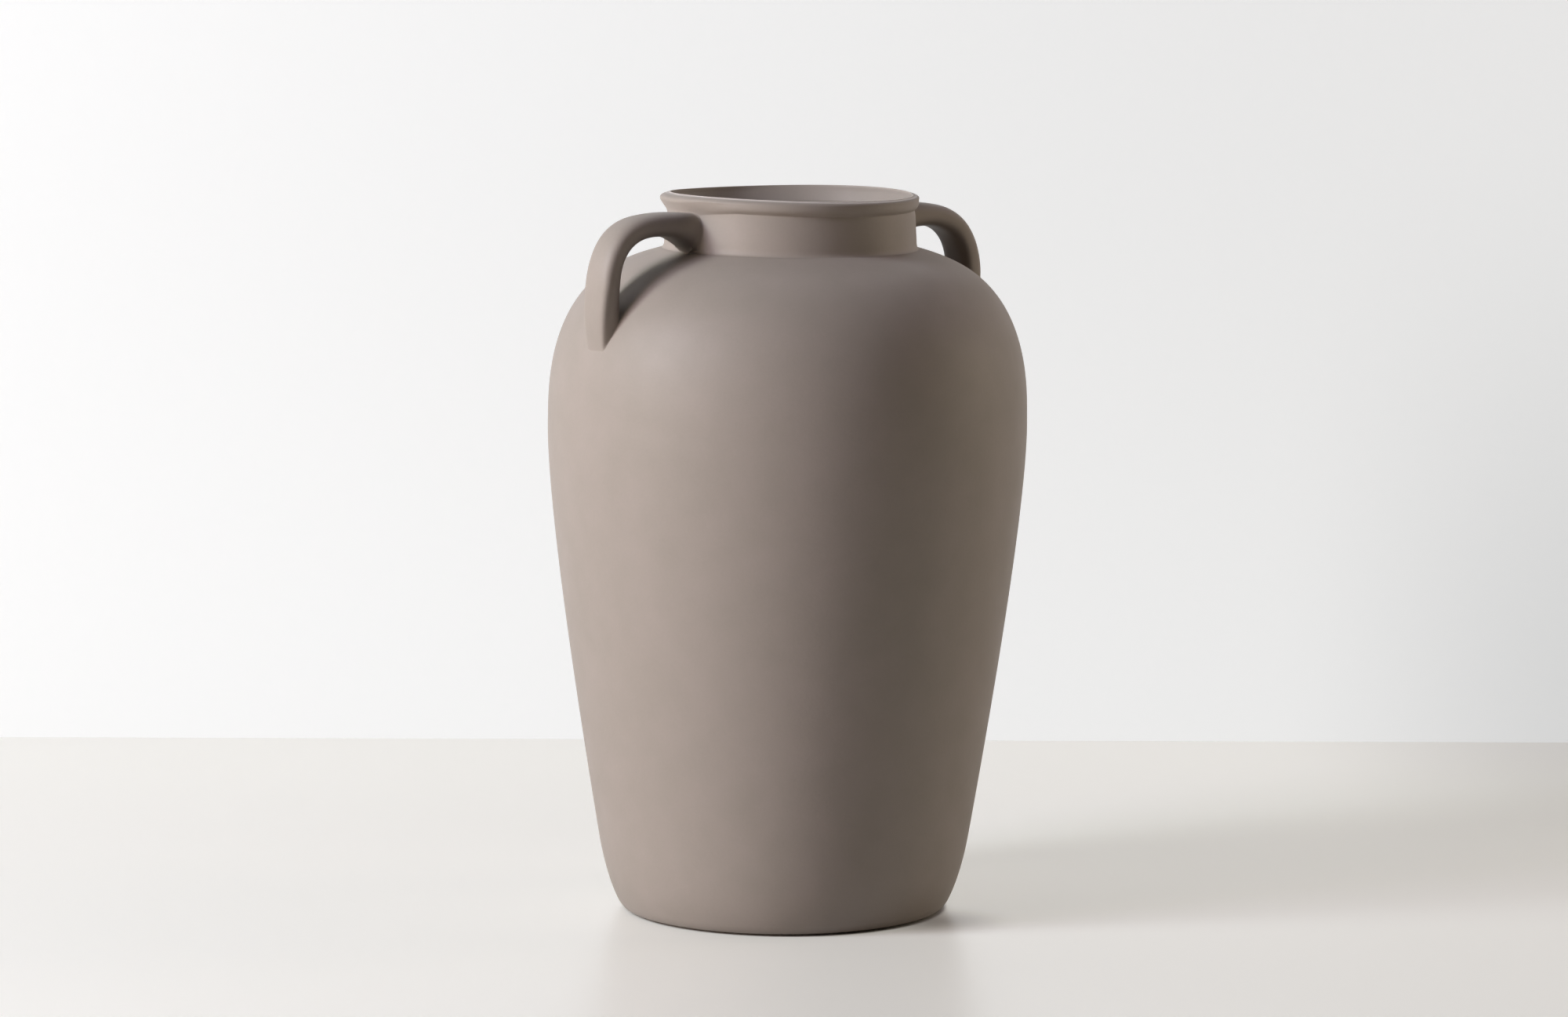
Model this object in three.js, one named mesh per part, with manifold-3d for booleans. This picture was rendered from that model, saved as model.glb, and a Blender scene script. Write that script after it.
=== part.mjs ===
// Two-handled ceramic vase, in millimetres, +Z up, standing on the plane z = 0.
// The body is raised in two thrown halves over a floor slab and a foot ring. The neck, its
// rolled rim and two pulled strap handles are formed apart and stuck on with slip.
import * as THREE from 'three';
import { LoftGeometry } from 'three/addons/geometries/LoftGeometry.js';
import { mergeVertices } from 'three/addons/utils/BufferGeometryUtils.js';
import Module from 'manifold-3d';

const wasm = await Module();
wasm.setup();

// Fit of the stuck joints
const SLIP_GAP = 0.3; // clay slip between two stuck faces
const WALL = 6; // body wall, square to its face

// Foot and floor
const FOOT_RADIUS = 89.2;
const FOOT_HEIGHT = 6;
const FOOT_WIDTH = 13; // of the ring that stands on the table
const FOOT_EDGE = 2; // rounding of its lower edges
const FLOOR_THICKNESS = 8;
const FLOOR_LIP = 6.5; // floor slab resting on the ring, past the ring's bore
const FLOOR_SPIGOT = 2; // depth of the slab inside the ring's bore
const FLOOR_EDGE = 1.5; // rounding of the slab's upper edge

// Outer form of the body
const FOOT_SLOPE = 0.725; // outward per unit of rise, at the table
const HEEL_RADIUS = 102.8; // where the tucked-in heel ends
const HEEL_HEIGHT = 40;
const WALL_SLOPE = 0.168; // outward per unit of rise, just above the heel
const BELLY_RADIUS = 132.5;
const BELLY_HEIGHT = 278.5;
const BODY_JOINT_HEIGHT = 240; // where the two thrown halves meet
const BODY_JOINT_STEP = 5; // height of the inner tongue there
const SHOULDER_RISE = 89.5; // belly line to the foot of the neck
const SHOULDER_ANGLE = THREE.MathUtils.degToRad(17); // fall of the shoulder beside the neck

// Tangent lengths of the three outer curves, as shares of each curve's own rise or run
const FOOT_PULL = [0.3, 0.07];
const WALL_PULL = [0.825, 0.038];
const SHOULDER_PULL = [0.85, 0.28];

// Neck
const NECK_RADIUS = 69.3; // above its flared foot
const NECK_TAPER = 1; // drawn in from there to the top
const NECK_HEIGHT = 21.2;
const NECK_FLARE = 2.2; // spread of the pressed-out foot on the shoulder
const NECK_FILLET = 5; // height of that flare
const NECK_SPIGOT = 5; // depth of the neck inside the shoulder's mouth

// Rim
const RIM_OVERHANG = 2.9; // of its widest line past the top of the neck
const RIM_HEIGHT = 10.8;
const RIM_JOINT_STEP = 2.5;
const RIM_ROOT = 0.5; // the rim's lower edge stands this far proud of the neck
const LIP_DROP = 3.2; // from the crest down to the widest line of the rim
const LIP_ROLL = 4.2; // from the widest line in to the crest
const LIP_INNER_ROLL = 3.2; // from the crest in to the inner face

// Strap handles
const STRAP_WIDTH = 22;
const STRAP_THICKNESS = 12.8;
const STRAP_SQUARENESS = 3; // exponent of the rounded section, 2 being an ellipse
const END_SQUARENESS = 2.2; // the same where the strap is pressed on at either end
const HANDLE_ROOT_HEIGHT = 11.4; // middle of the strap on the neck, above the neck's foot
const HANDLE_RISE = 0.31; // upward slope of the strap as it leaves the neck
const HANDLE_LANDING_DROP = 39.5; // from the neck's foot down to the landing on the shoulder
const HANDLE_LEAN = 0.108; // inward per unit of fall, on the straight lower stretch
const HANDLE_STRAIGHT = 13; // straight stretch above the landing
const HANDLE_TAIL = 19; // strap worked on past the landing before it is trimmed
const ARCH_FULLNESS = 0.54; // tangent length of the arch, a share of its span
const ROOT_FLARE_LENGTH = 13; // over which the strap spreads towards the neck
const ROOT_FLARE_DROP = 4.5; // spread downwards
const ROOT_FLARE_SIDE = 1.5; // spread of each side and of the top
const TAIL_LENGTH = 34; // over which the strap is smoothed down into the shoulder
const TAIL_SINK = 9; // how far its end is pressed in
const TAIL_NARROWING = 5; // width worked away there, on each side

// Facets
const SEGMENTS = 60; // around the vase
const WALL_STEPS = 6;
const SHOULDER_STEPS = 10;
const EDGE_STEPS = 3;
const STRAP_STEPS = 26;
const STRAP_SIDES = 20;

// Heights and radii that follow
const NECK_SEAT = BELLY_HEIGHT + SHOULDER_RISE;
const RIM_SEAT = NECK_SEAT + NECK_HEIGHT;
const SHOULDER_RADIUS = NECK_RADIUS + NECK_FLARE;
const NECK_TOP_RADIUS = NECK_RADIUS - NECK_TAPER;
const RIM_RADIUS = NECK_TOP_RADIUS + RIM_OVERHANG;
const NECK_BORE = NECK_TOP_RADIUS - WALL;
const MOUTH_RADIUS = NECK_BORE + WALL / 2 + SLIP_GAP; // hole in the shoulder
const FLOOR_TOP = FOOT_HEIGHT + FLOOR_THICKNESS;
const FOOT_BORE = FOOT_RADIUS - FOOT_WIDTH;
const FLOOR_RADIUS = FOOT_BORE + FLOOR_LIP;

// The three outer curves, from the table to the neck, as radius and height
const footPoint = new THREE.Vector2(FOOT_RADIUS, 0);
const heelPoint = new THREE.Vector2(HEEL_RADIUS, HEEL_HEIGHT);
const bellyPoint = new THREE.Vector2(BELLY_RADIUS, BELLY_HEIGHT);
const shoulderPoint = new THREE.Vector2(SHOULDER_RADIUS, NECK_SEAT);

function along(point, slope, rise) {
  return new THREE.Vector2(point.x + slope * rise, point.y + rise);
}

const wallRise = BELLY_HEIGHT - HEEL_HEIGHT;
const shoulderRun = BELLY_RADIUS - SHOULDER_RADIUS;
const heelCurve = new THREE.CubicBezierCurve(
  footPoint,
  along(footPoint, FOOT_SLOPE, HEEL_HEIGHT * FOOT_PULL[0]),
  along(heelPoint, WALL_SLOPE, -HEEL_HEIGHT * FOOT_PULL[1]),
  heelPoint,
);
const wallCurve = new THREE.CubicBezierCurve(
  heelPoint,
  along(heelPoint, WALL_SLOPE, wallRise * WALL_PULL[0]),
  along(bellyPoint, 0, -wallRise * WALL_PULL[1]),
  bellyPoint,
);
const shoulderCurve = new THREE.CubicBezierCurve(
  bellyPoint,
  along(bellyPoint, 0, SHOULDER_RISE * SHOULDER_PULL[0]),
  new THREE.Vector2(
    SHOULDER_RADIUS + shoulderRun * SHOULDER_PULL[1] * Math.cos(SHOULDER_ANGLE),
    NECK_SEAT - shoulderRun * SHOULDER_PULL[1] * Math.sin(SHOULDER_ANGLE),
  ),
  shoulderPoint,
);

// A point of the wall at a depth under its outer face. A negative depth lies outside.
function facePoint(curve, t, depth) {
  const point = curve.getPoint(t);
  const tangent = curve.getTangent(t);
  return new THREE.Vector2(point.x - tangent.y * depth, point.y + tangent.x * depth);
}

// Where the wall at that depth passes a height
function faceAt(curve, height, depth) {
  let low = 0;
  let high = 1;
  for (let i = 0; i < 40; i += 1) {
    const middle = (low + high) / 2;
    if (facePoint(curve, middle, depth).y < height) {
      low = middle;
    } else {
      high = middle;
    }
  }
  return (low + high) / 2;
}

function faceRun(curve, from, to, depth, steps) {
  const points = [];
  for (let i = 0; i <= steps; i += 1) {
    points.push(facePoint(curve, from + ((to - from) * i) / steps, depth));
  }
  return points;
}

// A closed outline turned about the vase's axis
function turned(points) {
  const outline = points.map((point) => new THREE.Vector2(Math.max(point.x, 0), point.y));
  if (outline[0].x > 0) {
    outline.push(outline[0].clone());
  }
  return new THREE.LatheGeometry(outline, SEGMENTS).rotateX(Math.PI / 2);
}

// Foot ring: the wall's lowest band, with the floor slab sitting in its bore
function footRing() {
  const low = faceAt(heelCurve, FOOT_EDGE, 0);
  const top = faceAt(heelCurve, FOOT_HEIGHT, 0);
  const wall = faceRun(heelCurve, low, top, 0, 2);
  const edge = new THREE.Path();
  edge.moveTo(FOOT_BORE, FOOT_EDGE);
  edge.quadraticCurveTo(FOOT_BORE, 0, FOOT_BORE + FOOT_EDGE, 0);
  edge.lineTo(wall[0].x - FOOT_EDGE, 0);
  edge.quadraticCurveTo(wall[0].x - FOOT_EDGE * FOOT_SLOPE / 2, 0, wall[0].x, wall[0].y);
  const bore = new THREE.Vector2(FOOT_BORE, FOOT_HEIGHT);
  return turned([...edge.getPoints(EDGE_STEPS), ...wall.slice(1), bore]);
}

// Floor slab: a disc resting on the ring, with a shallow spigot inside it
function floorSlab() {
  const spigotRadius = FOOT_BORE - SLIP_GAP;
  const outline = new THREE.Path();
  outline.moveTo(0, FOOT_HEIGHT - FLOOR_SPIGOT);
  outline.lineTo(spigotRadius, FOOT_HEIGHT - FLOOR_SPIGOT);
  outline.lineTo(spigotRadius, FOOT_HEIGHT);
  outline.lineTo(FLOOR_RADIUS, FOOT_HEIGHT);
  outline.lineTo(FLOOR_RADIUS, FLOOR_TOP - FLOOR_EDGE);
  outline.quadraticCurveTo(FLOOR_RADIUS, FLOOR_TOP, FLOOR_RADIUS - FLOOR_EDGE, FLOOR_TOP);
  outline.lineTo(0, FLOOR_TOP);
  return turned(outline.getPoints(EDGE_STEPS));
}

// Middle of the wall at the joint of the two halves, where the tongue and its step meet
function jointRadius() {
  const outer = facePoint(wallCurve, faceAt(wallCurve, BODY_JOINT_HEIGHT, 0), 0);
  return outer.x - WALL / 2;
}

// Lower half: bored at its foot for the floor slab, with an inner tongue at the top
function lowerBody() {
  const joint = BODY_JOINT_HEIGHT;
  const tongueTop = joint + BODY_JOINT_STEP;
  const heel = faceRun(heelCurve, faceAt(heelCurve, FOOT_HEIGHT, 0), 1, 0, 4);
  const outer = faceRun(wallCurve, 0, faceAt(wallCurve, joint, 0), 0, WALL_STEPS);
  const inner = faceRun(wallCurve, faceAt(wallCurve, tongueTop, WALL), 0, WALL, WALL_STEPS);
  const seat = new THREE.Vector2(FLOOR_RADIUS + SLIP_GAP, FLOOR_TOP);
  const coveTop = inner[inner.length - 1];
  const cove = new THREE.QuadraticBezierCurve(
    coveTop,
    along(coveTop, WALL_SLOPE, FLOOR_TOP - coveTop.y),
    seat,
  );
  return turned([
    new THREE.Vector2(seat.x, FOOT_HEIGHT),
    ...heel,
    ...outer.slice(1),
    new THREE.Vector2(jointRadius() - SLIP_GAP, joint),
    new THREE.Vector2(jointRadius() - SLIP_GAP, tongueTop),
    ...inner,
    ...cove.getPoints(4).slice(1),
  ]);
}

// Upper half: from the joint over the belly and shoulder to the mouth under the neck
function upperBody() {
  const joint = BODY_JOINT_HEIGHT;
  const step = joint + BODY_JOINT_STEP + SLIP_GAP;
  const outer = faceRun(wallCurve, faceAt(wallCurve, joint, 0), 1, 0, 2);
  const shoulder = faceRun(shoulderCurve, 0, 1, 0, SHOULDER_STEPS);
  const inner = faceRun(shoulderCurve, 1, 0, WALL, SHOULDER_STEPS);
  const innerWall = faceRun(wallCurve, 1, faceAt(wallCurve, step, WALL), WALL, 2);
  const underLip = inner[0].y + (inner[0].x - MOUTH_RADIUS) * Math.tan(SHOULDER_ANGLE);
  return turned([
    ...outer,
    ...shoulder.slice(1),
    new THREE.Vector2(MOUTH_RADIUS, NECK_SEAT),
    new THREE.Vector2(MOUTH_RADIUS, Math.min(underLip, NECK_SEAT - SLIP_GAP)),
    ...inner,
    ...innerWall.slice(1),
    new THREE.Vector2(jointRadius(), step),
    new THREE.Vector2(jointRadius(), joint),
  ]);
}

// Outer face of the neck, from the edge of its pressed-out foot to the rim
function neckFace(offset) {
  const face = new THREE.Path();
  face.moveTo(SHOULDER_RADIUS + offset, NECK_SEAT + offset);
  face.quadraticCurveTo(
    NECK_RADIUS + offset,
    NECK_SEAT + offset,
    NECK_RADIUS + offset,
    NECK_SEAT + NECK_FILLET + offset,
  );
  face.lineTo(NECK_TOP_RADIUS + offset, RIM_SEAT);
  return face.getPoints(EDGE_STEPS + 1);
}

// Neck: flared foot on the shoulder, spigot in the mouth, inner tongue under the rim
function neck() {
  const spigotRadius = MOUTH_RADIUS - SLIP_GAP;
  const tongueRadius = NECK_BORE + WALL / 2 - SLIP_GAP;
  const spigotFoot = NECK_SEAT - NECK_SPIGOT;
  return turned([
    new THREE.Vector2(NECK_BORE, spigotFoot),
    new THREE.Vector2(spigotRadius, spigotFoot),
    new THREE.Vector2(spigotRadius, NECK_SEAT),
    ...neckFace(0),
    new THREE.Vector2(tongueRadius, RIM_SEAT),
    new THREE.Vector2(tongueRadius, RIM_SEAT + RIM_JOINT_STEP),
    new THREE.Vector2(NECK_BORE, RIM_SEAT + RIM_JOINT_STEP),
  ]);
}

// Rim: a coil stepped over the neck's tongue, swelling out to a rolled lip
function rim() {
  const crest = RIM_SEAT + RIM_HEIGHT;
  const widest = crest - LIP_DROP;
  const rootRadius = NECK_TOP_RADIUS + RIM_ROOT;
  const innerRadius = RIM_RADIUS - LIP_ROLL - LIP_INNER_ROLL;
  const stepRadius = NECK_BORE + WALL / 2;
  const stepTop = RIM_SEAT + RIM_JOINT_STEP + SLIP_GAP;
  const outline = new THREE.Path();
  outline.moveTo(stepRadius, RIM_SEAT);
  outline.lineTo(rootRadius, RIM_SEAT);
  outline.quadraticCurveTo(RIM_RADIUS, (RIM_SEAT + widest) / 2, RIM_RADIUS, widest);
  outline.quadraticCurveTo(RIM_RADIUS, crest, RIM_RADIUS - LIP_ROLL, crest);
  outline.quadraticCurveTo(innerRadius, crest, innerRadius, widest);
  outline.lineTo(NECK_BORE, stepTop);
  outline.lineTo(stepRadius, stepTop);
  return turned(outline.getPoints(EDGE_STEPS + 1));
}

// A closed geometry as a solid that can be cut
function solidOf(geometry) {
  const shell = new THREE.BufferGeometry();
  shell.setAttribute('position', geometry.getAttribute('position'));
  shell.setIndex(geometry.getIndex());
  const merged = mergeVertices(shell);
  const corners = merged.index.array;
  const kept = [];
  for (let i = 0; i < corners.length; i += 3) {
    const [a, b, c] = [corners[i], corners[i + 1], corners[i + 2]];
    if (a !== b && b !== c && c !== a) {
      kept.push(a, b, c);
    }
  }
  const vertProperties = merged.attributes.position.array;
  const triVerts = new Uint32Array(kept);
  return new wasm.Manifold(new wasm.Mesh({ numProp: 3, vertProperties, triVerts }));
}

function geometryOf(solid) {
  const mesh = solid.getMesh();
  const geometry = new THREE.BufferGeometry();
  geometry.setAttribute('position', new THREE.BufferAttribute(mesh.vertProperties, 3));
  geometry.setIndex(new THREE.BufferAttribute(mesh.triVerts, 1));
  geometry.computeVertexNormals();
  return geometry;
}

// What the neck and shoulder fill, with the slip's gap round it: the handles are cut to this
function handleSeat() {
  const shoulder = faceRun(shoulderCurve, 0, 1, -SLIP_GAP, SHOULDER_STEPS);
  const aboveRim = RIM_SEAT + RIM_HEIGHT + STRAP_THICKNESS;
  return solidOf(turned([
    new THREE.Vector2(0, BELLY_HEIGHT),
    ...shoulder,
    ...neckFace(SLIP_GAP),
    new THREE.Vector2(NECK_TOP_RADIUS + SLIP_GAP, aboveRim),
    new THREE.Vector2(0, aboveRim),
  ]));
}

// The strap's middle line, from inside the neck over the arch and down into the shoulder
function handlePath() {
  const landingHeight = NECK_SEAT - HANDLE_LANDING_DROP;
  const landing = facePoint(shoulderCurve, faceAt(shoulderCurve, landingHeight, 0), 0);
  const at = (radius, height) => new THREE.Vector3(radius, 0, height);
  const root = at(NECK_RADIUS, NECK_SEAT + HANDLE_ROOT_HEIGHT);
  const rise = at(1, HANDLE_RISE).normalize();
  const climb = at(HANDLE_LEAN, 1).normalize();
  const archEnd = at(landing.x, landing.y).addScaledVector(climb, HANDLE_STRAIGHT);
  const tail = at(landing.x, landing.y).addScaledVector(climb, -HANDLE_TAIL);
  const pull = root.distanceTo(archEnd) * ARCH_FULLNESS;
  const path = new THREE.CurvePath();
  path.add(new THREE.LineCurve3(root.clone().addScaledVector(rise, -WALL), root));
  path.add(new THREE.CubicBezierCurve3(
    root,
    root.clone().addScaledVector(rise, pull),
    archEnd.clone().addScaledVector(climb, pull),
    archEnd,
  ));
  path.add(new THREE.LineCurve3(archEnd, tail));
  return path;
}

// One section of the strap: a rounded oblong, spread at the root and thinned at the tail
function strapSection(path, share) {
  const length = path.getLength();
  const tangent = path.getTangentAt(share);
  const outward = new THREE.Vector3(-tangent.z, 0, tangent.x);
  const fromRoot = Math.max(0, 1 - (share * length - WALL) / ROOT_FLARE_LENGTH);
  const spread = Math.min(fromRoot, 1) ** 2;
  const worked = Math.max(0, 1 - ((1 - share) * length) / TAIL_LENGTH) ** 2;
  const centre = path.getPointAt(share).addScaledVector(outward, -TAIL_SINK * worked);
  const above = STRAP_THICKNESS / 2 + ROOT_FLARE_SIDE * spread;
  const below = STRAP_THICKNESS / 2 + ROOT_FLARE_DROP * spread;
  const side = STRAP_WIDTH / 2 + ROOT_FLARE_SIDE * spread - TAIL_NARROWING * worked;
  const pressed = Math.max(spread, worked);
  const squareness = THREE.MathUtils.lerp(STRAP_SQUARENESS, END_SQUARENESS, pressed);
  const bulge = (value) => Math.sign(value) * Math.abs(value) ** (2 / squareness);
  const points = [];
  for (let i = 0; i < STRAP_SIDES; i += 1) {
    const angle = (i / STRAP_SIDES) * 2 * Math.PI;
    const lift = bulge(Math.cos(angle));
    const point = centre.clone().addScaledVector(outward, lift * (lift > 0 ? above : below));
    point.y = -bulge(Math.sin(angle)) * side;
    points.push(point);
  }
  return points;
}

// Strap handle on the +X side, its ends cut to the neck and the shoulder
function strapHandle() {
  const path = handlePath();
  const sections = [];
  for (let i = 0; i <= STRAP_STEPS; i += 1) {
    sections.push(strapSection(path, i / STRAP_STEPS));
  }
  const strap = new LoftGeometry(sections, { capStart: true, capEnd: true });
  return geometryOf(solidOf(strap).subtract(handleSeat()));
}

// Fired clay, one tone for the thrown body and slightly different ones for what is stuck on
function clay(color) {
  return new THREE.MeshStandardMaterial({ color, roughness: 0.82, metalness: 0 });
}

const vase = new THREE.Group();

function addPiece(name, geometry, color) {
  const piece = new THREE.Mesh(geometry, clay(color));
  piece.name = name;
  vase.add(piece);
  return piece;
}

const handleGeometry = strapHandle();
addPiece('foot_ring', footRing(), 0x9a8d83);
addPiece('base_disc', floorSlab(), 0x94877d);
addPiece('lower_body', lowerBody(), 0xa09389);
addPiece('upper_body', upperBody(), 0xa19489);
addPiece('neck', neck(), 0x9f9288);
addPiece('rim', rim(), 0xa3968b);
addPiece('handle_right', handleGeometry, 0x9d9086);
addPiece('handle_left', handleGeometry, 0x9d9086).rotation.z = Math.PI;

export default vase;
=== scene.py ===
import math

import bmesh
import bpy
import numpy as np
from mathutils import Matrix, Vector
from mathutils.geometry import interpolate_bezier


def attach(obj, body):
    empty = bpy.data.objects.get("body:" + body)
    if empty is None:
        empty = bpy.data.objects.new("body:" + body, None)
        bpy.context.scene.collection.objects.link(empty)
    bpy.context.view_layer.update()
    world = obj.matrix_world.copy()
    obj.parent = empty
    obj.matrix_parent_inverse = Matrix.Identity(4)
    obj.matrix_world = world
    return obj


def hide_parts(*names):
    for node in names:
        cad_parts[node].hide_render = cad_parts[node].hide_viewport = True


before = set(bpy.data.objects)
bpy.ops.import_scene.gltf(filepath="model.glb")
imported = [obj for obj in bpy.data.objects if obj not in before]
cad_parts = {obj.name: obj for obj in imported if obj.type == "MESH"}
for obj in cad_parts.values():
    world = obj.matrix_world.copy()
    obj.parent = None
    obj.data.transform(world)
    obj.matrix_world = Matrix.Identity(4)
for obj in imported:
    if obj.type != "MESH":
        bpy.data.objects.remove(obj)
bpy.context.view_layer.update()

# A two-handled vase of matt taupe clay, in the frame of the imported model: +Z up, the handles
# along X. Shapes are worked out in millimetres and made in metres. Only the values of the studio
# are in metres from the start.
MM = 0.001

# Camera
TURN = math.radians(38.2)  # from the handles' plane round to the picture's plane
CAMERA_DISTANCE = 3101
CAMERA_HEIGHT = 614.83
CAMERA_SHIFT = -1.822  # sideways
CAMERA_PITCH = math.radians(7.1953)  # downwards
CAMERA_ROLL = 0.0035
CAMERA_LENS = 129.455
SENSOR_WIDTH = 36

# How the vase came out of the kiln: it leans a little and its rim isn't quite level
LEAN = 0.00561  # sideways, per unit of height above the pivot
LEAN_PIVOT = 285
RIM_TILT = -0.0117  # rise per unit towards the right of the picture
RIM_REACH = 66  # radius for which the next three are given
RIM_TWIST = 0.016 / RIM_REACH  # rise at the diagonals of the rim
BACK_TWIST = 0.01 / RIM_REACH  # and more of it on the far side
RIM_DIP = 0.2 / RIM_REACH  # fall towards the back
TWIST_FADE = (73, 84)  # radii between which the twist of the far side fades out
WARP_START = 352  # height from which the neck goes out of level
NECK_SHIFT = 0.73  # of the neck on the shoulder, to the right of the picture
SHIFT_RISE = (342, 372)  # heights between which that shift sets in
SHIFT_FALL = (387, 394)  # and between which it fades out again
SHIFT_FADE = (74, 95)  # radii between which it fades out on the shoulder
LEFT_SAG = 3.4  # of the line between neck and rim, where the rim tapers on the left
LEFT_SPAN = (25, 66)  # distances from the axis between which that side sets in
SAG_REACH = 12  # height under the rim over which the sag sets in

# Outer form of the body as radius and height: each curve's two ends and its two pulls
WALL = 6
HEEL_CURVE = ((89.2, 0), (97.9, 12), (102.33, 37.2), (102.8, 40))
WALL_CURVE = ((102.8, 40), (135.86, 236.76), (132.38, 269.44), (132.38, 278.5))
SHOULDER_CURVE = ((132.38, 278.5), (132.38, 354.575), (87.834, 363.006), (71.5, 368))
BODY_STEP = 2.2  # between turned rings on the wall
EDGE_STEP = 0.35  # and on rolled edges
TURNS = 192  # facets round the vase
SHARP_EDGE = math.radians(32)

# Foot and floor
FOOT_HEIGHT = 6
FOOT_BORE = 76.2
FOOT_EDGE = 2
FOOT_GAP = 1.3  # height of the lifted outer edge over the table
FOOT_ROUND = 5  # and where its round meets the wall
FOOT_LIP = 3.3  # from the wall in to the lower end of that round
FOOT_CONTACT = 85  # outer radius of the flat that stands on the table
SHADE_BELOW = 26  # height under which painted shade makes the clay a little darker
SHADE_LOW = 0.15  # share of painted shade near the table
SHADE_UNDER = 0.2  # and added to it under the foot
FLOOR_RADIUS = 83
FLOOR_TOP = 14
FLOOR_UNDERSIDE = 4

# Neck and rim
BODY_JOINT = 240
NECK_SEAT = 368
NECK_RADIUS = 69.5
NECK_FILLET = 5
NECK_TOP_RADIUS = 68.5
SHOULDER_RADIUS = 71.7
THROAT_START = 78  # radius inside the shoulder at which the throat turns up
BORE = 62.3
RIM_SEAT = 390.2
RIM_ROOT_RADIUS = 68.6
RIM_RADIUS = 71.3
RIM_UNDER = 395  # where the rim starts to turn under
RIM_WIDEST = 395.6
RIM_TOP = 398.1
RIM_TOP_RADIUS = 67.6
LIP_CREST = 398.5  # of the thin wiped lip at the edge of the mouth
LIP_RADIUS = 66.9
LIP_INNER_RADIUS = 66.4
LIP_INNER_EDGE = 398
MOUTH_SHIFT = 1.1  # of the mouth in the rim, to the right of the picture
RIM_TAPER = 0.56  # of the left side of the rim, inwards per unit of fall
TAPER_FILLET = 3.4  # height over which that side curves out of the neck
NECK_TAPER = 0.55  # inwards, of the left side of the neck at its top

# Strap handles
STRAP_WIDTH = 22
STRAP_THICKNESS = 12.8
STRAP_SQUARENESS = 3
LEG_SQUARENESS = 4  # on the straight lower stretch
ROOT_SQUARENESS = 2
STRAP_SIDES = 64
STRAP_STEP = 0.5
STRAP_ZONE = 250  # height over which a strap can meet the wall
ROOT_RISE = 11.1  # middle of the strap on the neck, above the neck's foot
LANDING_DROP = 41  # from the neck's foot to the landing on the shoulder
STRAP_LEAN = 0.108
STRAIGHT = 13
FLARE_LENGTH = 17
FLARE_DROP = 5.2
FLARE_SIDE = -0.6
CROWN_LENGTH = 30  # over which the top of the strap is built up towards the neck
CROWN_POWER = 1.4
CROWN_RISE = 3.6
THINNED_SPAN = (4, 20)  # distances from the neck between which the arch gets thinner
LEG_SPAN = (5, 45)  # distances from the landing between which the arch becomes the leg
THUMBED_LENGTH = 30  # over which the lower end is smoothed down into the shoulder
TRIM_LENGTH = 45  # over which the sides of the lower end are trimmed
TRIM_POWER = 1.3
NARROWEST = 1.5  # half width that the trimming leaves
STRAP_SHADE_SHARE = 0.8  # of the way down to the underside, from which the painted shade is deepest
STRAP_SHADE_HEIGHT = 6  # over the wall, from which it is
ROOT_FILLET = 1.1  # clay smeared round the upper end
TAIL_FILLET = 0.8  # and round the lower end
BURIED = 2.5  # the ends stop this far under the wall's face
OVER_RIM = (66, 430)  # a point in line with the neck's face, well over the rim

# Clay, as a pale and a deep tone, its roughness and the depth of its grain
TAUPE_CLAY = ((0.447, 0.386, 0.341), (0.387, 0.343, 0.292), 0.57, 0.0002)
BARE_CLAY = ((0.40, 0.345, 0.295), (0.33, 0.28, 0.235), 0.86, 0.0004)
LIP_HIGHLIGHT_CLAY = (0.72, 0.66, 0.6)  # painted highlight along the edge of the lip
PAINTED_SHADE_CLAY = (0.2, 0.17, 0.145)  # painted shade under the straps and low on the foot
CLOUDS, MOTTLE, GRAIN = (11.0, 2.0), (48.0, 4.0), (620.0, 3.0)  # noise scale and detail

# Studio, in metres
STAGE_REACH = 6  # of the floor and the wall to each side
WALL_DISTANCE = 0.556
BOUNCE = 0.72  # share of a stage colour that lights the vase
FOOT_REACH = 0.4  # over which painted light and shade on the floor and the wall grow towards the wall's foot
FAR_RIGHT = (0.3, 0.52)  # right of the vase, between which that painted light turns into painted shade
UNDER_FOOT = (0.0878, 0.091)  # radii between which the floor begins to show its own light; nearer in, painted shadow under the foot
CONTACT_SHADE = (0.085, -0.045)  # middle of the painted shadow beside the foot, right and away
CONTACT_REACH = 0.047
CONTACT_LEAST = 0.28  # share of its own light that the floor shows in the middle of it
LAMP_AIM = 0.2  # height at which the lamps are aimed

# Lamps: degrees to the right of the camera and up, distance, size, watts and tint
SOFTBOXES = {
    "low_key_softbox": (-60, 12, 2.6, 1.3, 29.2, (1, 0.806, 0.689)),
    "high_key_softbox": (-62, 28, 2.6, 0.7, 24.6, (0.781, 0.758, 1)),
    "side_key_softbox": (-70, 26, 2.6, 0.5, 19.7, (0.829, 1, 0.948)),
    "fill_softbox": (100, 12, 2, 0.9, 8.2, (1, 0.86, 0.604)),
    "back_softbox": (105, 38, 1.45, 0.8, 2.2, (1, 0.804, 0.946)),
}

# Each strap was pulled and bent by hand
RIGHT_STRAP = {
    "angle": 0.2,  # round the vase
    "slope": 0.31,  # up from the neck
    "fullness": (0.54, 0.54),  # of the arch, near the neck and above the shoulder
    "bow": 0.1,  # outwards, of the straight stretch
    "tail": 21,  # strap worked on past the landing
    "sink": 4.9,  # of the tail, into the shoulder
    "thinned": 0,  # off the arch's underside
    "trim": (5, 5),  # width cut off the two sides of its lower end
}
LEFT_STRAP = {
    "angle": 180 - 0.9, "slope": 0.25, "fullness": (0.51, 0.6), "bow": 0.1,
    "tail": 17, "sink": 4.6, "thinned": 1.1, "trim": (10, -6),
}


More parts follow.
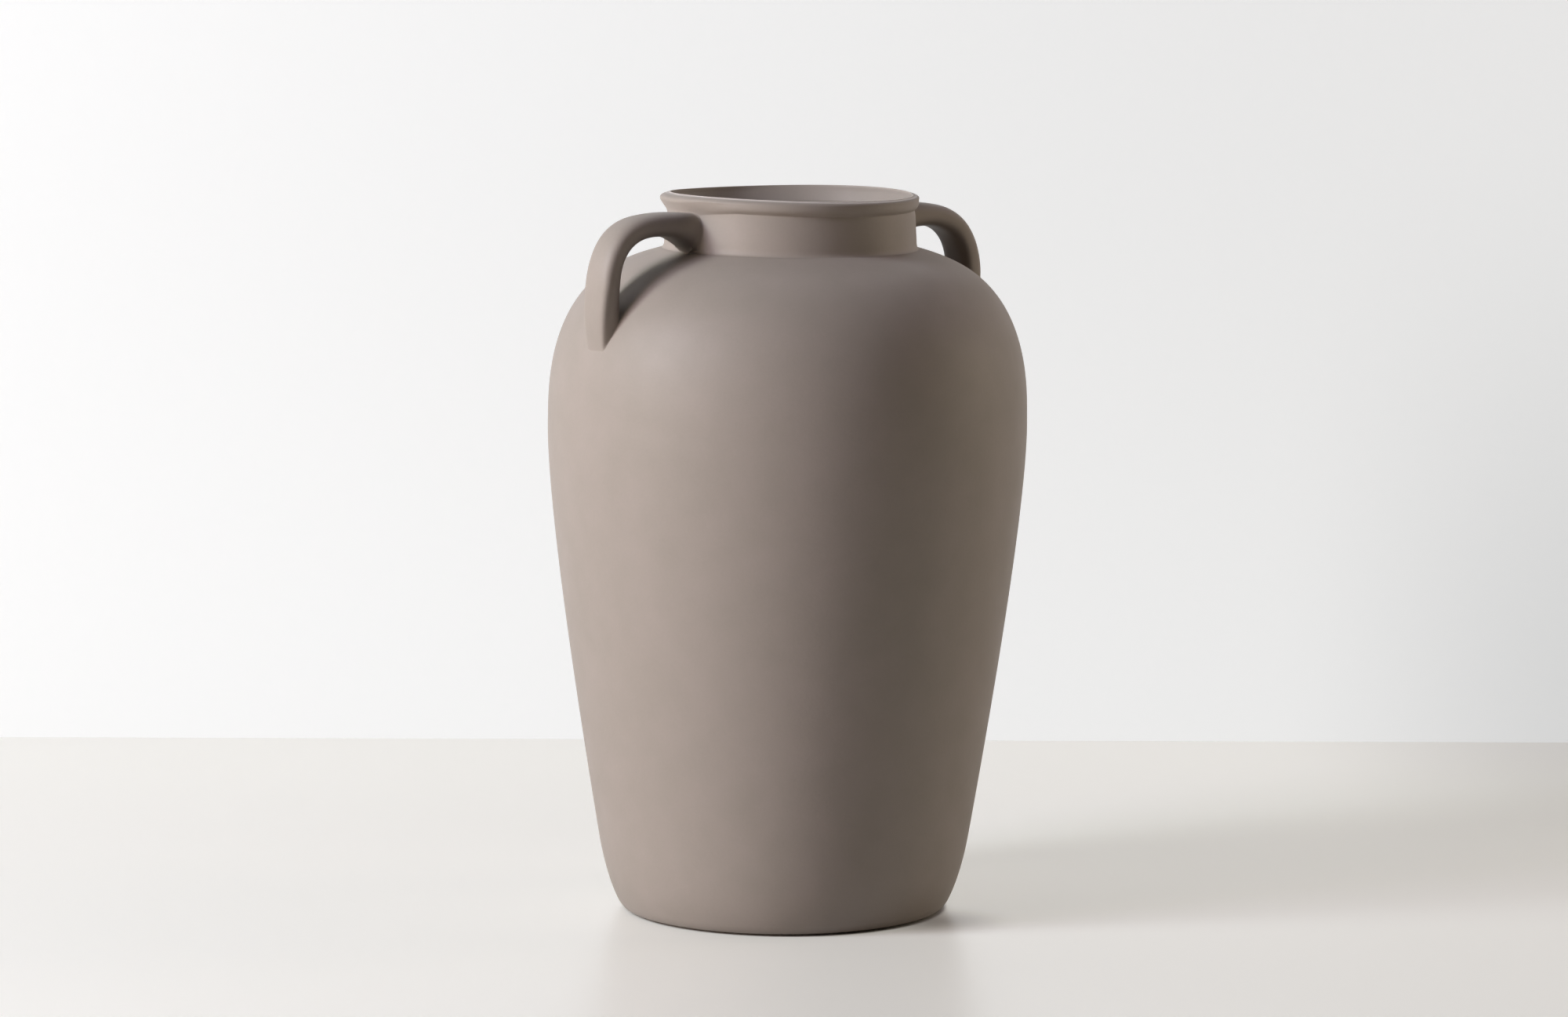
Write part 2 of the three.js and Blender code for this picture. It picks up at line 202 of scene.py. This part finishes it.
def bend(curve, steps=240):
    """Points along one curve, from its two ends and two pulls, as rows of radius and height."""
    knot, pull, second_pull, end = (Vector((*point, 0)) for point in curve)
    points = interpolate_bezier(knot, pull, second_pull, end, steps)
    return np.array([point[:2] for point in points])


def line(start, end, steps=2):
    return np.linspace(start, end, steps)


def joined(*runs):
    """Runs of points made one, without the points that two runs share."""
    points = [tuple(runs[0][0])]
    for run in runs:
        for point in run:
            if math.dist(point, points[-1]) > 1e-6:
                points.append(tuple(point))
    return np.array(points)


def spaced(run, step):
    """The same run with points a step apart, its two ends kept."""
    run = np.asarray(run, float)
    along = np.concatenate([[0], np.cumsum(np.linalg.norm(np.diff(run, axis=0), axis=1))])
    stations = np.linspace(0, along[-1], max(2, round(along[-1] / step) + 1))
    return np.stack([np.interp(stations, along, run[:, i]) for i in range(run.shape[1])], axis=1)


def between(run, low, high):
    """The part of a rising run between two heights."""
    ends = [(np.interp(height, run[:, 1], run[:, 0]), height) for height in (low, high)]
    inside = run[(run[:, 1] > low + 0.01) & (run[:, 1] < high - 0.01)]
    return np.array([ends[0], *inside, ends[1]])


def under_face(run, depth):
    """The run set back by a depth under the face."""
    slope = np.gradient(run, axis=0)
    slope /= np.linalg.norm(slope, axis=1, keepdims=True)
    return run + depth * np.stack([-slope[:, 1], slope[:, 0]], axis=1)


# Faces of the wall, from the table to the neck
OUTER = joined(bend(HEEL_CURVE), bend(WALL_CURVE), bend(SHOULDER_CURVE))
SET_BACK = under_face(OUTER, WALL)
NECK_FACE = joined(
    bend((
        (SHOULDER_RADIUS, NECK_SEAT),
        (SHOULDER_RADIUS + (NECK_RADIUS - SHOULDER_RADIUS) * 2 / 3, NECK_SEAT),
        (NECK_RADIUS, NECK_SEAT + NECK_FILLET / 3),
        (NECK_RADIUS, NECK_SEAT + NECK_FILLET),
    ), 24),
    line((NECK_RADIUS, NECK_SEAT + NECK_FILLET), (NECK_TOP_RADIUS, RIM_SEAT)),
)
INSIDE = SET_BACK[(SET_BACK[:, 1] > HEEL_CURVE[-1][1]) & (SET_BACK[:, 0] > THROAT_START)]
THROAT = joined(
    INSIDE,
    bend((
        INSIDE[-1],
        (70, INSIDE[-1][1] + 2.4),
        (BORE, NECK_SEAT - 2),
        (BORE, NECK_SEAT + NECK_FILLET),
    ), 40),
    line((BORE, NECK_SEAT + NECK_FILLET), (BORE, RIM_SEAT)),
)

RIGHT = Vector((math.cos(TURN), -math.sin(TURN), 0))  # the picture's right, across the floor
BACK = Vector((math.sin(TURN), math.cos(TURN), 0))  # away from the camera
UP = Vector((0, 0, 1))


def smooth_share(value, low, high):
    """0 up to low, 1 from high on, and an even curve between them."""
    share = np.clip((value - low) / (high - low), 0, 1)
    return share * share * (3 - 2 * share)


def falling_share(value, low, high):
    """1 up to low, 0 from high on, and an even curve between them."""
    return smooth_share(-value, -high, -low)


def left_share(across):
    """How much a place on the neck belongs to the left of the picture."""
    return smooth_share(-across, *LEFT_SPAN)


def left_sag(across, height):
    """Fall of the line between neck and rim on the left of the picture."""
    under = smooth_share(height, RIM_SEAT - SAG_REACH, RIM_SEAT)
    over = np.clip((RIM_WIDEST - height) / (RIM_WIDEST - RIM_SEAT), 0, 1)
    return LEFT_SAG * left_share(across) * np.minimum(under, over)


def settled(points):
    """Every point where the making and the firing left it."""
    across, away = points @ np.array(RIGHT), points @ np.array(BACK)
    radius, height = np.hypot(across, away), points[:, 2]
    warp = smooth_share(height, WARP_START, RIM_SEAT)
    far_twist = BACK_TWIST * np.maximum(away, 0) * falling_share(radius, *TWIST_FADE)
    twist = RIM_TWIST * away + far_twist
    lift = warp * (across * (RIM_TILT + twist) - RIM_DIP * away)
    slip = np.minimum(smooth_share(height, *SHIFT_RISE), falling_share(height, *SHIFT_FALL))
    shift = LEAN * (height - LEAN_PIVOT) + NECK_SHIFT * slip * falling_share(radius, *SHIFT_FADE)
    return points + np.outer(shift, RIGHT) + np.outer(lift, UP)


def as_piece(bm, name, node, clay):
    """Settles a finished form and makes it a piece that stands for a node."""
    for face in bm.faces:
        face.smooth = True
    for edge in bm.edges:
        edge.smooth = edge.calc_face_angle(0) < SHARP_EDGE
    mesh = bpy.data.meshes.new(name)
    bm.to_mesh(mesh)
    bm.free()
    points = np.empty(3 * len(mesh.vertices), np.float32)
    mesh.vertices.foreach_get("co", points)
    mesh.vertices.foreach_set("co", (settled(points.reshape(-1, 3) / MM) * MM).ravel())
    mesh.update()
    mesh.materials.append(clay)
    piece = bpy.data.objects.new(name, mesh)
    bpy.context.scene.collection.objects.link(piece)
    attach(piece, "root")
    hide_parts(node)
    return piece


def turned(outline):
    """A closed outline turned on the wheel."""
    bm = bmesh.new()
    verts = [bm.verts.new((radius * MM, 0, height * MM)) for radius, height in outline]
    edges = [bm.edges.new(pair) for pair in zip(verts, verts[1:])]
    if outline[0][0] > 0:
        edges.append(bm.edges.new((verts[-1], verts[0])))
    bmesh.ops.spin(
        bm, geom=verts + edges, cent=(0, 0, 0), axis=(0, 0, 1), dvec=(0, 0, 0),
        angle=2 * math.pi, steps=TURNS, use_merge=True, use_normal_flip=False, use_duplicate=False,
    )
    bmesh.ops.remove_doubles(bm, verts=bm.verts, dist=1e-6)
    bmesh.ops.recalc_face_normals(bm, faces=bm.faces)
    return bm


def painted_shade_low_down(bm):
    """Marks painted shade: the clay a little darker near the table and more so under the foot."""
    sheltered = bm.verts.layers.float.new("sheltered")
    for vert in bm.verts:
        height = vert.co.z / MM
        vert[sheltered] = (
            SHADE_LOW * (1 - smooth_share(height, 0, SHADE_BELOW))
            + SHADE_UNDER * (1 - smooth_share(height, FOOT_GAP, FOOT_ROUND)))
    return bm


def foot_ring():
    face = between(OUTER, FOOT_ROUND, FOOT_HEIGHT)
    low = face[0]
    inner_edge = bend((
        (FOOT_BORE, FOOT_EDGE), (FOOT_BORE, FOOT_EDGE / 3),
        (FOOT_BORE + FOOT_EDGE / 3, 0), (FOOT_BORE + FOOT_EDGE, 0),
    ))
    lifted_edge = bend((
        (FOOT_CONTACT, 0), (FOOT_CONTACT + 1, FOOT_GAP / 2),
        (low[0] - 4, FOOT_GAP), (low[0] - FOOT_LIP, FOOT_GAP),
    ))
    outer_round = bend((
        (low[0] - FOOT_LIP, FOOT_GAP), (low[0] - 2.5, FOOT_GAP), (low[0] - 1.2, low[1] - 1.8), low,
    ))
    return painted_shade_low_down(turned(joined(
        spaced(inner_edge, EDGE_STEP),
        spaced(line((FOOT_BORE + FOOT_EDGE, 0), (FOOT_CONTACT, 0)), 3),
        spaced(lifted_edge, EDGE_STEP),
        spaced(outer_round, EDGE_STEP),
        spaced(face, 0.8),
        spaced(line(face[-1], (FOOT_BORE, FOOT_HEIGHT)), 3),
        spaced(line((FOOT_BORE, FOOT_HEIGHT), (FOOT_BORE, FOOT_EDGE)), 1),
    )[:-1]))


def base_disc():
    return turned(joined(
        line((0, FLOOR_UNDERSIDE), (FOOT_BORE, FLOOR_UNDERSIDE), 12),
        line((FOOT_BORE, FLOOR_UNDERSIDE), (FOOT_BORE, FOOT_HEIGHT)),
        line((FOOT_BORE, FOOT_HEIGHT), (FLOOR_RADIUS, FOOT_HEIGHT)),
        line((FLOOR_RADIUS, FOOT_HEIGHT), (FLOOR_RADIUS, FLOOR_TOP)),
        line((FLOOR_RADIUS, FLOOR_TOP), (0, FLOOR_TOP), 24),
    ))


def lower_body():
    outer = between(OUTER, FOOT_HEIGHT, BODY_JOINT)
    inner = between(SET_BACK, HEEL_CURVE[-1][1], BODY_JOINT)
    cove = bend((
        (FLOOR_RADIUS, FLOOR_TOP), (FLOOR_RADIUS + 8, FLOOR_TOP),
        (inner[0][0] - 2.6, inner[0][1] - 15), inner[0],
    ))
    return painted_shade_low_down(turned(joined(
        spaced(line((FLOOR_RADIUS, FOOT_HEIGHT), outer[0]), 3),
        spaced(outer, BODY_STEP),
        spaced(inner, 2 * BODY_STEP)[::-1],
        spaced(cove, BODY_STEP)[::-1],
    )))


def upper_body():
    outer = between(OUTER, BODY_JOINT, NECK_SEAT)
    inner = between(THROAT, BODY_JOINT, NECK_SEAT)
    return turned(joined(spaced(outer, BODY_STEP / 1.5), spaced(inner, BODY_STEP)[::-1]))


def neck():
    inner = between(THROAT, NECK_SEAT, RIM_SEAT)
    bm = turned(joined(spaced(NECK_FACE, EDGE_STEP * 1.5), spaced(inner, BODY_STEP)[::-1]))
    for vert in bm.verts:
        radius, height = math.hypot(vert.co.x, vert.co.y) / MM, vert.co.z / MM
        if radius > (BORE + NECK_TOP_RADIUS) / 2:
            rise = smooth_share(height, NECK_SEAT + NECK_FILLET, RIM_SEAT)
            drawn_in = NECK_TAPER * float(rise * left_share(vert.co.dot(RIGHT) / MM))
            vert.co.x *= 1 - drawn_in / radius
            vert.co.y *= 1 - drawn_in / radius
        vert.co.z -= float(left_sag(vert.co.dot(RIGHT) / MM, height)) * MM
    return bm


def rim():
    root, under = (RIM_ROOT_RADIUS, RIM_SEAT), (RIM_RADIUS, RIM_UNDER)
    widest, top = (RIM_RADIUS, RIM_WIDEST), (RIM_TOP_RADIUS, RIM_TOP)
    crest, edge = (LIP_RADIUS, LIP_CREST), (LIP_INNER_RADIUS, LIP_INNER_EDGE)
    turned_under = bend((root, (root[0] + 0.3, root[1] + 1), (under[0], under[1] - 3.6), under))
    rolled_over = bend((widest, (widest[0], widest[1] + 1.6), (top[0] + 1.9, top[1]), top))
    lip_outside = bend((top, (top[0] - 0.1, crest[1]), (crest[0] + 0.3, crest[1]), crest))
    lip_inside = bend((crest, (crest[0] - 0.5, crest[1]), (edge[0], edge[1] + 0.4), edge))
    bm = turned(joined(
        line((BORE, RIM_SEAT), root, 4),
        spaced(turned_under, EDGE_STEP),
        spaced(line(under, widest), EDGE_STEP),
        spaced(rolled_over, EDGE_STEP),
        spaced(lip_outside, EDGE_STEP / 3),
        spaced(lip_inside, EDGE_STEP / 3),
        spaced(line(edge, (BORE, RIM_SEAT)), EDGE_STEP * 2),
    ))
    # painted highlight: the crest of the lip is made paler
    rubbed = bm.verts.layers.float.new("rubbed")
    for vert in bm.verts:
        radius, height = math.hypot(vert.co.x, vert.co.y) / MM, vert.co.z / MM
        across = vert.co.dot(RIGHT) / MM
        fallen = height - float(left_sag(across, height))
        vert.co.z = fallen * MM
        vert[rubbed] = float(
            smooth_share(height, RIM_TOP - 0.5, RIM_TOP - 0.1)
            * smooth_share(radius, LIP_INNER_RADIUS - 0.1, LIP_INNER_RADIUS + 0.3))
        if radius > RIM_ROOT_RADIUS - 0.1 and height < RIM_WIDEST:
            # the left side tapers evenly to the neck instead of turning under
            climb = fallen - RIM_SEAT + float(left_sag(across, RIM_SEAT))
            eased = climb - TAPER_FILLET / 2
            if climb < TAPER_FILLET:
                eased = climb ** 2 / (2 * TAPER_FILLET)
            target = min(NECK_TOP_RADIUS - NECK_TAPER + RIM_TAPER * eased, RIM_RADIUS)
            scale = 1 + float(left_share(across)) * (target / radius - 1)
            vert.co.x *= scale
            vert.co.y *= scale
        vert.co += RIGHT * MOUTH_SHIFT * float(smooth_share(height, RIM_WIDEST, RIM_TOP)) * MM
    return bm


def above_face(points):
    """Height of each point over the shoulder or neck, square to the face, and the way out."""
    neck_line = line((NECK_TOP_RADIUS, RIM_SEAT), OVER_RIM)
    face = joined(OUTER[OUTER[:, 1] > STRAP_ZONE], NECK_FACE, neck_line)
    starts, runs = face[:-1], np.diff(face, axis=0)
    flat = np.stack([np.hypot(points[:, 0], points[:, 1]), points[:, 2]], axis=1)
    offset = flat[:, None, :] - starts
    share = np.clip((offset * runs).sum(2) / (runs * runs).sum(1), 0, 1)
    gap = offset - share[..., None] * runs
    length = np.linalg.norm(gap, axis=2)
    nearest = length.argmin(1)
    rows = np.arange(len(points))
    run = runs[nearest] / np.linalg.norm(runs[nearest], axis=1, keepdims=True)
    out = np.stack([run[:, 1], -run[:, 0]], axis=1)
    height = length[rows, nearest] * np.sign((gap[rows, nearest] * out).sum(1))
    around = points[:, :2] / flat[:, :1]
    return height, np.column_stack([around * out[:, :1], out[:, 1]])


def strap_path(slope, fullness, tail):
    """Middle line of a strap as distance from the axis and height, from neck to shoulder."""
    landing_height = NECK_SEAT - LANDING_DROP
    landing = np.array([np.interp(landing_height, OUTER[:, 1], OUTER[:, 0]), landing_height])
    root = np.array([NECK_RADIUS, NECK_SEAT + ROOT_RISE])
    rise = np.array([1, slope]) / math.hypot(1, slope)
    climb = np.array([STRAP_LEAN, 1]) / math.hypot(1, STRAP_LEAN)
    arch_end = landing + climb * STRAIGHT
    pulls = math.dist(root, arch_end) * np.array(fullness)
    arch = bend((root, root + rise * pulls[0], arch_end + climb * pulls[1], arch_end))
    return joined(line(root - rise * WALL, root), arch, line(arch_end, landing - climb * tail))


def strap_handle(strap):
    """A pulled strap, its ends smeared on to the neck and the shoulder."""
    path = spaced(strap_path(strap["slope"], strap["fullness"], strap["tail"]), STRAP_STEP)
    steps = len(path) - 1
    tangents = np.gradient(path, axis=0)
    tangents /= np.linalg.norm(tangents, axis=1, keepdims=True)
    bm = bmesh.new()
    bmesh.ops.create_grid(bm, x_segments=STRAP_SIDES, y_segments=steps, size=1)
    flat = np.array([vert.co[:2] for vert in bm.verts])
    turn = (flat[:, 0] + 1) * math.pi
    row = np.rint((flat[:, 1] + 1) / 2 * steps).astype(int)
    from_root, to_end = row * STRAP_STEP - WALL, (steps - row) * STRAP_STEP
    spread = np.clip(1 - from_root / FLARE_LENGTH, 0, 1) ** 2
    crown = np.clip(1 - from_root / CROWN_LENGTH, 0, 1) ** CROWN_POWER
    thumbed = np.clip(1 - to_end / THUMBED_LENGTH, 0, 1) ** 2
    trimmed = np.clip(1 - to_end / TRIM_LENGTH, 0, 1) ** TRIM_POWER
    leg = falling_share(to_end - strap["tail"], *LEG_SPAN)
    power = STRAP_SQUARENESS + (ROOT_SQUARENESS - STRAP_SQUARENESS) * spread
    power += (LEG_SQUARENESS - STRAP_SQUARENESS) * leg
    lift, reach = (
        np.sign(value) * np.abs(value) ** (2 / power) for value in (np.cos(turn), np.sin(turn)))
    thinned = strap["thinned"] * smooth_share(from_root, *THINNED_SPAN) * (1 - leg)
    under = FLARE_DROP * spread - thinned
    thick = STRAP_THICKNESS / 2 + np.where(lift > 0, CROWN_RISE * crown, under)
    side = STRAP_WIDTH / 2 + FLARE_SIDE * spread - trimmed * np.where(reach > 0, *strap["trim"])
    side = np.maximum(side, NARROWEST)
    outward = np.column_stack([-tangents[row, 1], np.zeros(len(row)), tangents[row, 0]])
    sunk = strap["sink"] * thumbed - strap["bow"] * leg
    points = outward * (lift * thick - sunk)[:, None]
    points += np.column_stack([path[row, 0], reach * side, path[row, 1]])
    ways = outward * (np.sign(lift) * np.abs(lift) ** (power - 1) / thick)[:, None]
    ways[:, 1] = np.sign(reach) * np.abs(reach) ** (power - 1) / side
    ways /= np.linalg.norm(ways, axis=1, keepdims=True)
    height, out = above_face(points)
    fillet = np.where(row < steps / 2, ROOT_FILLET, TAIL_FILLET)
    short = np.clip(fillet - height, 0, fillet + 1)
    smear = np.where(short < fillet, short ** 2 / (2 * fillet), short - fillet / 2)
    points += (ways - (ways * out).sum(1, keepdims=True) * out) * smear[:, None]
    height, out = above_face(points)
    points += out * np.maximum(-BURIED - height, 0)[:, None]
    # painted shade on the undersides of the straps
    strap_shade = smooth_share(-lift, 0, STRAP_SHADE_SHARE) * smooth_share(height, 0, STRAP_SHADE_HEIGHT)
    sheltered = bm.verts.layers.float.new("sheltered")
    for vert, point, depth in zip(bm.verts, points, strap_shade):
        vert.co = Vector(point) * MM
        vert[sheltered] = depth
    turn_to = Matrix.Rotation(math.radians(strap["angle"]), 3, "Z")
    bmesh.ops.rotate(bm, verts=bm.verts, cent=(0, 0, 0), matrix=turn_to)
    bmesh.ops.remove_doubles(bm, verts=bm.verts, dist=1e-6)
    bmesh.ops.holes_fill(bm, edges=[edge for edge in bm.edges if edge.is_boundary], sides=0)
    bmesh.ops.recalc_face_normals(bm, faces=bm.faces)
    return bm


class Reading:
    """A value in a material's recipe, so that sums on it are written as sums."""

    def __init__(self, recipe, socket):
        self.recipe, self.socket = recipe, socket

    def worked(self, operation, *values):
        return self.recipe.add("ShaderNodeMath", {"operation": operation}, dict(enumerate(values)))

    def __add__(self, other):
        return self.worked("ADD", self, other)

    def __sub__(self, other):
        return self.worked("SUBTRACT", self, other)

    def __rsub__(self, other):
        return self.worked("SUBTRACT", other, self)

    def __mul__(self, other):
        return self.worked("MULTIPLY", self, other)

    __radd__, __rmul__ = __add__, __mul__


class Recipe:
    """A material and the nodes that mix it."""

    def __init__(self, name):
        self.material = bpy.data.materials.new(name)
        self.material.use_nodes = True
        self.tree = self.material.node_tree
        self.tree.nodes.clear()

    def add(self, kind, settings=None, values=None, output=0):
        """Adds a node: its settings first, then the values or links of its sockets."""
        node = self.tree.nodes.new(kind)
        for key, value in (settings or {}).items():
            if key == "stops":
                while len(node.color_ramp.elements) < len(value):
                    node.color_ramp.elements.new(0.5)
                for element, (position, color) in zip(node.color_ramp.elements, value):
                    element.position, element.color = position, (*color, 1)
            else:
                setattr(node, key, value)
        for key, value in (values or {}).items():
            socket = node.inputs[key]
            if isinstance(value, Reading):
                self.tree.links.new(value.socket, socket)
            else:
                socket.default_value = value
        return Reading(self, node.outputs[output]) if node.outputs else None

    def finish(self, surface):
        self.add("ShaderNodeOutputMaterial", None, {"Surface": surface})
        return self.material


def color_mix(recipe, share, first, second):
    settings = {"data_type": "RGBA", "blend_type": "MIX"}
    return recipe.add("ShaderNodeMix", settings, {0: share, 6: first, 7: second}, 2)


def fired_clay(name, pale, deep, roughness, grain_depth):
    """Matt clay: broad cloudiness, a finer mottle and the grain of the body, plus painted shade
    and highlight.
    """
    recipe = Recipe(name)
    place = recipe.add("ShaderNodeTexCoord", None, None, "Object")
    clouds, mottle, grain = (
        recipe.add("ShaderNodeTexNoise", None, {"Vector": place, "Scale": scale, "Detail": detail})
        for scale, detail in (CLOUDS, MOTTLE, GRAIN))
    share = recipe.add(
        "ShaderNodeClamp", None, {"Value": clouds * 0.7 + mottle * 0.9 + grain * 0.4 - 0.5})
    # painted highlight along the lip
    rubbed = recipe.add("ShaderNodeAttribute", {"attribute_name": "rubbed"}, None, "Fac")
    # painted shade: the clay darkened under the straps and low on the foot, where shade falls
    sheltered = recipe.add("ShaderNodeAttribute", {"attribute_name": "sheltered"}, None, "Fac")
    color = color_mix(recipe, share, (*pale, 1), (*deep, 1))
    color = color_mix(recipe, sheltered, color, (*PAINTED_SHADE_CLAY, 1))
    surface = recipe.add("ShaderNodeBsdfPrincipled", None, {
        "Base Color": color_mix(recipe, rubbed, color, (*LIP_HIGHLIGHT_CLAY, 1)),
        "Roughness": roughness + mottle * 0.12 - 0.06,
        "Specular IOR Level": 0.5,
        "Sheen Weight": 0.08,
        "Sheen Roughness": 0.5,
        "Normal": recipe.add("ShaderNodeBump", None, {
            "Strength": 0.35, "Distance": grain_depth, "Height": grain * 0.6 + mottle * 0.8}),
    })
    return recipe.finish(surface)


def painted_light_and_shade(recipe, left, right):
    """How much of its own light a stage surface shows: painted shadow right under and beside the
    vase, painted light towards the wall's foot on the left and painted shade there on the far
    right."""
    place = recipe.add("ShaderNodeTexCoord", None, None, "Object")
    smooth = {"interpolation_type": "SMOOTHSTEP"}

    def ranged(value, start, end, least=0):
        return recipe.add("ShaderNodeMapRange", smooth, {
            "Value": value, "From Min": start, "From Max": end, "To Min": least})

    def measured(operation, vector):
        return recipe.add(
            "ShaderNodeVectorMath", {"operation": operation}, {0: place, 1: vector}, "Value")

    across, away = (measured("DOT_PRODUCT", way) for way in (RIGHT, BACK - UP))
    # painted light near the wall's foot on the left, painted shade there on the far right
    near = ranged(WALL_DISTANCE - away, FOOT_REACH, 0)
    far_right = ranged(across, *FAR_RIGHT)
    share = near * (far_right * (right - left) + left) + 1
    # painted shadow under and beside the foot
    share = share * ranged(measured("DISTANCE", Vector((0, 0, 0))), *UNDER_FOOT)
    shade = RIGHT * CONTACT_SHADE[0] + BACK * CONTACT_SHADE[1]
    return share * ranged(measured("DISTANCE", shade), 0, CONTACT_REACH, CONTACT_LEAST)


def stage_finish(name, color, roughness, shown, painted_wall_foot, ior_level=0.5, back_clear=False):
    """A pale studio surface. What it shows is added only to what a lens or a reflection sees."""
    recipe = Recipe(name)
    seen = recipe.add("ShaderNodeLightPath", None, None, "Is Camera Ray")
    rays = seen.socket.node.outputs
    for kind in ("Is Glossy Ray", "Is Transmission Ray"):
        seen = seen.worked("MAXIMUM", seen, Reading(recipe, rays[kind]))
    bounced = [part * BOUNCE for part in color]
    surface = recipe.add("ShaderNodeBsdfPrincipled", None, {
        "Base Color": color_mix(recipe, seen, (*bounced, 1), (*color, 1)),
        "Roughness": roughness,
        "Specular IOR Level": ior_level,
        "Emission Color": recipe.add("ShaderNodeVectorMath", {"operation": "SCALE"}, {
            0: shown, "Scale": seen * painted_light_and_shade(recipe, *painted_wall_foot)}),
        "Emission Strength": 1,
    })
    if back_clear:
        turned_away = recipe.add("ShaderNodeNewGeometry", None, None, "Backfacing")
        clear = recipe.add("ShaderNodeBsdfTransparent")
        surface = recipe.add("ShaderNodeMixShader", None, {0: turned_away, 1: surface, 2: clear})
    return recipe.finish(surface)


def stage_plane(name, matrix, material):
    bm = bmesh.new()
    bmesh.ops.create_grid(bm, x_segments=1, y_segments=1, size=STAGE_REACH)
    bmesh.ops.transform(bm, matrix=matrix, verts=bm.verts)
    mesh = bpy.data.meshes.new(name)
    bm.to_mesh(mesh)
    bm.free()
    mesh.materials.append(material)
    plane = bpy.data.objects.new(name, mesh)
    bpy.context.scene.collection.objects.link(plane)
    return plane


def axes_matrix(right, up, facing, place):
    matrix = Matrix((right, up, facing)).transposed().to_4x4()
    matrix.translation = place
    return matrix


def softbox(name, turn, rise, reach, size, watts, tint):
    """A soft lamp, turned to the right of the camera and raised, aimed at the vase's middle."""
    data = bpy.data.lights.new(name, "AREA")
    data.shape, data.size, data.size_y = "RECTANGLE", size, size
    data.energy, data.color = watts, tint
    lamp = bpy.data.objects.new(name, data)
    turn, rise = math.radians(turn), math.radians(rise)
    away = (RIGHT * math.sin(turn) - BACK * math.cos(turn)) * math.cos(rise) + UP * math.sin(rise)
    facing = away.to_track_quat("Z", "Y").to_matrix().to_4x4()
    lamp.matrix_world = Matrix.Translation(UP * LAMP_AIM + away * reach) @ facing
    lamp.visible_camera = False
    bpy.context.scene.collection.objects.link(lamp)
    return lamp


# Camera
camera_data = bpy.data.cameras.new("camera")
camera_data.lens, camera_data.sensor_width = CAMERA_LENS, SENSOR_WIDTH
camera_data.sensor_fit = "HORIZONTAL"
camera = bpy.data.objects.new("camera", camera_data)
forward = BACK * math.cos(CAMERA_PITCH) - UP * math.sin(CAMERA_PITCH)
upright = BACK * math.sin(CAMERA_PITCH) + UP * math.cos(CAMERA_PITCH)
camera.matrix_world = axes_matrix(
    RIGHT * math.cos(CAMERA_ROLL) + upright * math.sin(CAMERA_ROLL),
    upright * math.cos(CAMERA_ROLL) - RIGHT * math.sin(CAMERA_ROLL),
    -forward,
    (RIGHT * CAMERA_SHIFT - BACK * CAMERA_DISTANCE + UP * CAMERA_HEIGHT) * MM,
)
bpy.context.scene.collection.objects.link(camera)
bpy.context.scene.camera = camera

# Clays
body_clay = fired_clay("taupe_clay", *TAUPE_CLAY)
foot_clay = fired_clay("wiped_foot_clay", *TAUPE_CLAY)
bare_clay = fired_clay("bare_floor_clay", *BARE_CLAY)

# The vase
as_piece(foot_ring(), "turned_foot_ring", "foot_ring", foot_clay)
as_piece(base_disc(), "floor_slab", "base_disc", bare_clay)
as_piece(lower_body(), "thrown_lower_body", "lower_body", body_clay)
as_piece(upper_body(), "thrown_upper_body", "upper_body", body_clay)
as_piece(neck(), "collar_neck", "neck", body_clay)
as_piece(rim(), "rolled_rim", "rim", body_clay)
right_strap, left_strap = strap_handle(RIGHT_STRAP), strap_handle(LEFT_STRAP)
as_piece(right_strap, "pulled_handle_right", "handle_right", body_clay)
as_piece(left_strap, "pulled_handle_left", "handle_left", body_clay)

# Stage
# at the wall's foot: painted light on the left and painted shade on the far right
floor_finish = stage_finish(
    "studio_floor_white", color=(0.72, 0.71, 0.69), roughness=0.32,
    shown=(0.272, 0.268, 0.244), painted_wall_foot=(0.2, -0.3))
wall_finish = stage_finish(
    "studio_wall_white", color=(0.56, 0.56, 0.555), roughness=0.9,
    shown=(0.513, 0.53, 0.527), painted_wall_foot=(0.06, -0.14), ior_level=0, back_clear=True)
stage_plane("studio_floor", Matrix.Identity(4), floor_finish)
stage_plane("studio_wall", axes_matrix(RIGHT, UP, -BACK, BACK * WALL_DISTANCE), wall_finish)

# Light
for lamp_name, lamp_values in SOFTBOXES.items():
    softbox(lamp_name, *lamp_values)
world = bpy.data.worlds.new("studio_air")
bpy.context.scene.world = world
world.use_nodes = True
world.node_tree.nodes["Background"].inputs["Color"].default_value = (0, 0, 0, 1)

bpy.context.scene.view_settings.view_transform = "Standard"
